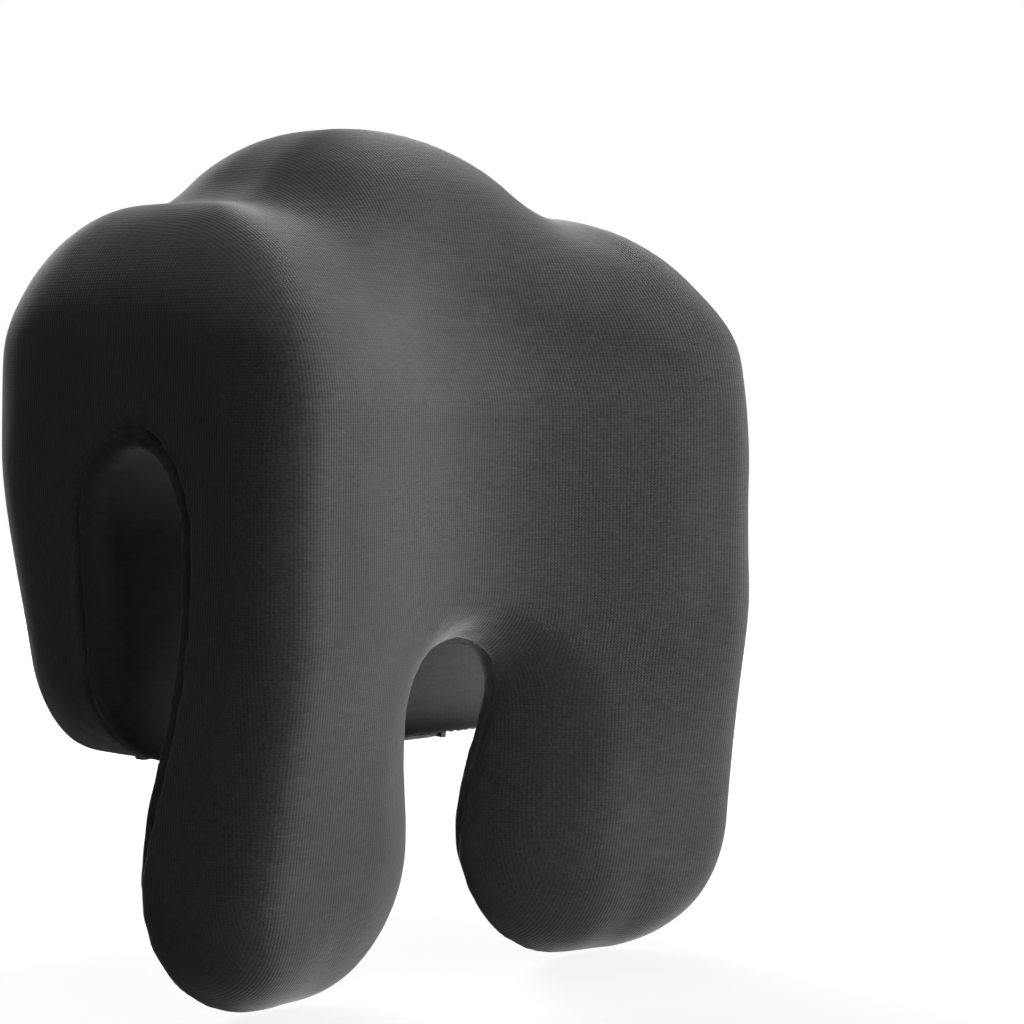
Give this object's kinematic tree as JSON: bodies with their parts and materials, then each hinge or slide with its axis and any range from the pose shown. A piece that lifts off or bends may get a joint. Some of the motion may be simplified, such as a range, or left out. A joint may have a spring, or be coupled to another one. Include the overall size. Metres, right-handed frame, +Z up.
{
  "type": "chair headrest attachment",
  "caption": "Soft saddle headrest that hangs over an office chair back: contoured front with two side bolsters, hanging lobes with a keyhole gap, and a shorter zipped rear flap.",
  "frame": {"origin": "middle of the saddle slot's roof, where the headrest sits on the chair's top rail", "axes": "+X is left to right as seen from the front, -Y is the front that the head rests on, +Z is up"},
  "size_m": [0.2214, 0.1496, 0.2634],
  "materials": {
    "foam": "open-cell slow-recovery foam, matte",
    "knit_cover": "fine charcoal stretch knit with a soft sheen",
    "slot_lining": "smooth dark tricot",
    "zip_tape": "woven polyester tape",
    "zip_coil": "nylon coil",
    "zip_metal": "dark painted zinc, worn at the edges",
    "label": "blank satin ribbon"
  },
  "bodies": {
    "core": {"foam_core": "foam", "cover_core": "knit_cover", "slot_lining_core": "slot_lining"},
    "rear_flap": {"foam_rear_flap": "foam", "cover_rear_flap": "knit_cover", "slot_lining_rear_flap": "slot_lining", "zipper_tape_front": "zip_tape", "zipper_tape_rear": "zip_tape", "zipper_coil_front": "zip_coil", "zipper_coil_rear": "zip_coil", "zipper_top_stop": "zip_metal", "zipper_bottom_stop": "zip_metal", "care_label": "label"},
    "left_leg": {"foam_left_leg": "foam", "cover_left_leg": "knit_cover", "slot_lining_left_leg": "slot_lining"},
    "right_leg": {"foam_right_leg": "foam", "cover_right_leg": "knit_cover", "slot_lining_right_leg": "slot_lining"},
    "zip_slider": {"zipper_slider": "zip_metal"},
    "zip_pull": {"zipper_pull": "zip_metal"}
  },
  "joints": [
    {"name": "saddle_open", "type": "hinge", "parent": "core", "child": "rear_flap", "pos_m": [0, 0.07, -0.012], "axis": [1, 0, 0], "range_deg": [-5, 20]},
    {"name": "left_leg_flex", "type": "hinge", "parent": "core", "child": "left_leg", "pos_m": [-0.062, -0.042, -0.064], "axis": [1, 0, 0], "range_deg": [-12, 10]},
    {"name": "right_leg_flex", "type": "hinge", "parent": "core", "child": "right_leg", "pos_m": [0.062, -0.042, -0.064], "axis": [1, 0, 0], "range_deg": [-12, 10]},
    {"name": "zip_slide", "type": "slide", "parent": "rear_flap", "child": "zip_slider", "axis": [1, 0, 0], "range_m": [-0.118, 0]},
    {"name": "zip_pull_swing", "type": "hinge", "parent": "zip_slider", "child": "zip_pull", "pos_m": [0.059, 0.044, -0.0996], "axis": [0, -1, 0], "range_deg": [0, 165]}
  ]
}
